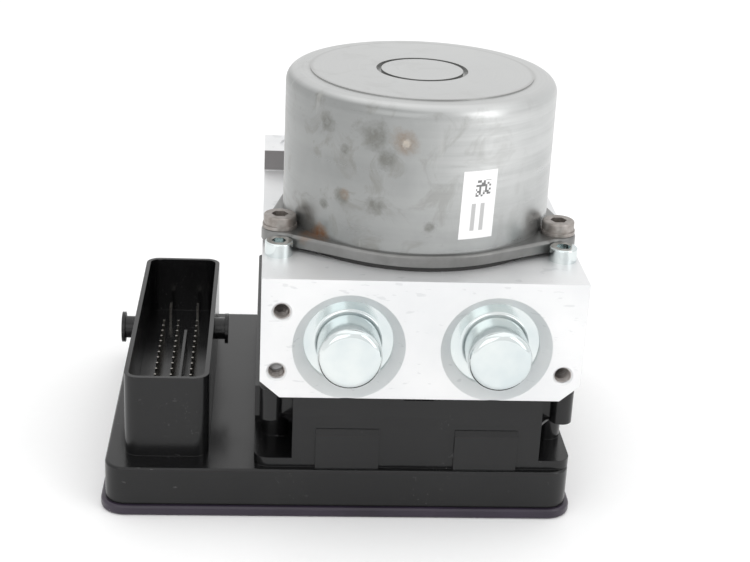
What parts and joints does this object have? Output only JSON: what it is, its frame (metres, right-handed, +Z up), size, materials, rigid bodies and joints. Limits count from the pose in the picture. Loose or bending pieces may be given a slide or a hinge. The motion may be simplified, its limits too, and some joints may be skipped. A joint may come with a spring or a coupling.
{
  "type": "abs brake module",
  "caption": "Brake pressure module: machined valve block with round pump motor on top and a flat plastic control unit with connector socket underneath.",
  "frame": {"origin": "on the motor axis, on the underside of the control unit's lid", "axes": "+Z up along the motor axis, +Y away from the accumulator face, +X to the right, away from the connector"},
  "size_m": [0.1458, 0.1297, 0.1286],
  "materials": {
    "block": "bright machined",
    "can": "zinc plated, drawn",
    "flange": "cast and machined",
    "zinc": "bright blue zinc",
    "screw_steel": "dull phosphated",
    "steel": "ground",
    "housing": "moulded, semi-gloss",
    "lid": "moulded, smooth",
    "rubber": "moulded",
    "board": "lacquered",
    "contact": "tinned",
    "copper": "enamelled wire",
    "magnet": "ferrite",
    "carbon": "carbon",
    "spring_steel": "drawn wire",
    "bronze": "sintered",
    "insulator": "moulded"
  },
  "bodies": {
    "module": {"ecu_lid": "lid", "ecu_housing": "housing", "ecu_seal": "rubber", "circuit_board": "board", "signal_pins": "contact", "power_blades": "contact", "coil_yokes": "steel", "inlet_valves": "steel", "outlet_valves": "steel", "valve_block": "block", "sealing_balls": "steel", "motor_gasket": "rubber", "motor_flange": "flange", "front_bearing": "steel", "motor_can": "can", "rear_bearing": "bronze", "magnets": "magnet", "brush_holder": "insulator", "motor_terminal": "contact", "motor_screws": "screw_steel", "unit_screws": "zinc", "valve_coil_1": "copper", "valve_coil_2": "copper", "valve_coil_3": "copper", "valve_coil_4": "copper", "valve_coil_5": "copper", "valve_coil_6": "copper", "valve_coil_7": "copper", "valve_coil_8": "copper", "accumulator_cap_left": "zinc", "accumulator_spring_left": "spring_steel", "pump_plug_left": "steel", "pump_spring_left": "spring_steel", "brush_spring_left": "spring_steel", "accumulator_cap_right": "zinc", "accumulator_spring_right": "spring_steel", "pump_plug_right": "steel", "pump_spring_right": "spring_steel", "brush_spring_right": "spring_steel"},
    "rotor": {"armature_core": "steel", "armature_windings": "copper", "commutator": "copper", "motor_shaft": "steel"},
    "cam_ring": {"eccentric_ring": "steel"},
    "pump_piston_left": {"pump_piston_left": "steel"},
    "accumulator_piston_left": {"accumulator_piston_left": "steel", "accumulator_seal_left": "rubber"},
    "brush_left": {"brush_left": "carbon"},
    "pump_piston_right": {"pump_piston_right": "steel"},
    "accumulator_piston_right": {"accumulator_piston_right": "steel", "accumulator_seal_right": "rubber"},
    "brush_right": {"brush_right": "carbon"},
    "plunger_1": {"valve_plunger_1": "steel"},
    "plunger_2": {"valve_plunger_2": "steel"},
    "plunger_3": {"valve_plunger_3": "steel"},
    "plunger_4": {"valve_plunger_4": "steel"},
    "plunger_5": {"valve_plunger_5": "steel"},
    "plunger_6": {"valve_plunger_6": "steel"},
    "plunger_7": {"valve_plunger_7": "steel"},
    "plunger_8": {"valve_plunger_8": "steel"}
  },
  "joints": [
    {"name": "rotor_spin", "type": "hinge", "parent": "module", "child": "rotor", "pos_m": [0, 0, 0.0834], "axis": [0, 0, 1], "continuous": true},
    {"name": "cam_ring_spin", "type": "hinge", "parent": "rotor", "child": "cam_ring", "pos_m": [0, 0.00125, 0.065], "axis": [0, 0, 1], "continuous": true},
    {"name": "pump_stroke_left", "type": "slide", "parent": "module", "child": "pump_piston_left", "axis": [-1, 0, 0], "range_m": [0, 0.0025], "stiffness_N_per_m": 2000, "springref_m": -0.004, "deforming": ["pump_spring_left"]},
    {"name": "accumulator_fill_left", "type": "slide", "parent": "module", "child": "accumulator_piston_left", "axis": [0, -1, 0], "range_m": [0, 0.008], "stiffness_N_per_m": 4000, "springref_m": -0.004, "deforming": ["accumulator_spring_left"]},
    {"name": "brush_lift_left", "type": "slide", "parent": "module", "child": "brush_left", "axis": [-1, 0, 0], "range_m": [0, 0.0005], "stiffness_N_per_m": 300, "springref_m": -0.003, "deforming": ["brush_spring_left"]},
    {"name": "pump_stroke_right", "type": "slide", "parent": "module", "child": "pump_piston_right", "axis": [1, 0, 0], "range_m": [0, 0.0025], "stiffness_N_per_m": 2000, "springref_m": -0.004, "deforming": ["pump_spring_right"]},
    {"name": "accumulator_fill_right", "type": "slide", "parent": "module", "child": "accumulator_piston_right", "axis": [0, -1, 0], "range_m": [0, 0.008], "stiffness_N_per_m": 4000, "springref_m": -0.004, "deforming": ["accumulator_spring_right"]},
    {"name": "brush_lift_right", "type": "slide", "parent": "module", "child": "brush_right", "axis": [1, 0, 0], "range_m": [0, 0.0005], "stiffness_N_per_m": 300, "springref_m": -0.003, "deforming": ["brush_spring_right"]},
    {"name": "valve_1_lift", "type": "slide", "parent": "module", "child": "plunger_1", "axis": [0, 0, -1], "range_m": [0, 0.0003], "stiffness_N_per_m": 1500, "springref_m": -0.002},
    {"name": "valve_2_lift", "type": "slide", "parent": "module", "child": "plunger_2", "axis": [0, 0, -1], "range_m": [0, 0.0003], "stiffness_N_per_m": 1500, "springref_m": -0.002},
    {"name": "valve_3_lift", "type": "slide", "parent": "module", "child": "plunger_3", "axis": [0, 0, -1], "range_m": [0, 0.0003], "stiffness_N_per_m": 1500, "springref_m": -0.002},
    {"name": "valve_4_lift", "type": "slide", "parent": "module", "child": "plunger_4", "axis": [0, 0, -1], "range_m": [0, 0.0003], "stiffness_N_per_m": 1500, "springref_m": -0.002},
    {"name": "valve_5_lift", "type": "slide", "parent": "module", "child": "plunger_5", "axis": [0, 0, -1], "range_m": [0, 0.0003], "stiffness_N_per_m": 1500, "springref_m": -0.002},
    {"name": "valve_6_lift", "type": "slide", "parent": "module", "child": "plunger_6", "axis": [0, 0, -1], "range_m": [0, 0.0003], "stiffness_N_per_m": 1500, "springref_m": -0.002},
    {"name": "valve_7_lift", "type": "slide", "parent": "module", "child": "plunger_7", "axis": [0, 0, -1], "range_m": [0, 0.0003], "stiffness_N_per_m": 1500, "springref_m": -0.002},
    {"name": "valve_8_lift", "type": "slide", "parent": "module", "child": "plunger_8", "axis": [0, 0, -1], "range_m": [0, 0.0003], "stiffness_N_per_m": 1500, "springref_m": -0.002}
  ],
  "couplings": [
    {"joint": "cam_ring_spin", "follows": "rotor_spin", "ratio": -1}
  ]
}
